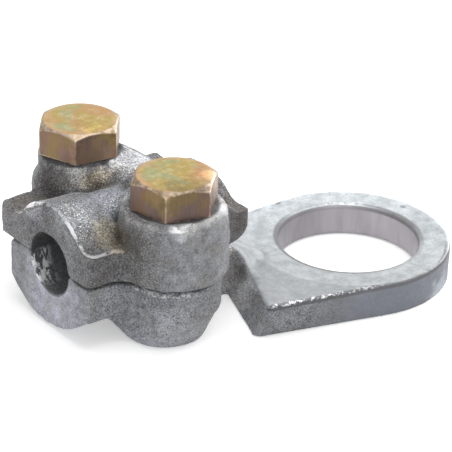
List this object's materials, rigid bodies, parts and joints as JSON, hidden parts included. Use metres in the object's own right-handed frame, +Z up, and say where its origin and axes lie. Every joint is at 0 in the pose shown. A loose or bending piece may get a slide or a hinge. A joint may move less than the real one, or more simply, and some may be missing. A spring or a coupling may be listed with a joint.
{
  "type": "ring terminal",
  "caption": "Cast ring terminal that clamps a bare cable under a bolted saddle cap and offers a flat ring lug for a large stud.",
  "frame": {"origin": "the middle of the cable bore: on the parting plane between the two castings, midway between the bolts", "axes": "+X along the clamp from the cable's entry towards the ring (the bore itself runs 4.6 degrees askew), +Z up out of the bolt heads, the ring lies towards +X and -Y, and the casting rests at z = -12 mm"},
  "size_m": [0.0715, 0.0535, 0.0287],
  "materials": {
    "lug_body": "rough sand casting, zinc plated, machined ring face and ring hole",
    "clamp_cap": "rough sand casting, zinc plated",
    "bolts": "yellow passivated zinc plate"
  },
  "bodies": {
    "lower casting": {"lug_body": "lug_body"},
    "cap": {"clamp_cap": "clamp_cap"},
    "front bolt": {"front_bolt": "bolts"},
    "rear bolt": {"rear_bolt": "bolts"}
  },
  "joints": [
    {"name": "cap_lift", "type": "slide", "parent": "lower casting", "child": "cap", "axis": [0, 0, 1], "range_m": [0, 0.005]},
    {"name": "front_bolt_turn", "type": "hinge", "parent": "cap", "child": "front bolt", "pos_m": [0, -0.01335, 0], "axis": [0, 0, 1], "range_deg": [0, 1440]},
    {"name": "rear_bolt_turn", "type": "hinge", "parent": "cap", "child": "rear bolt", "pos_m": [0, 0.01335, 0], "axis": [0, 0, 1], "range_deg": [0, 1440]}
  ],
  "couplings": [
    {"joint": "front_bolt_turn", "follows": "cap_lift", "rad_per_m": 5026.5},
    {"joint": "rear_bolt_turn", "follows": "cap_lift", "rad_per_m": 5026.5}
  ]
}
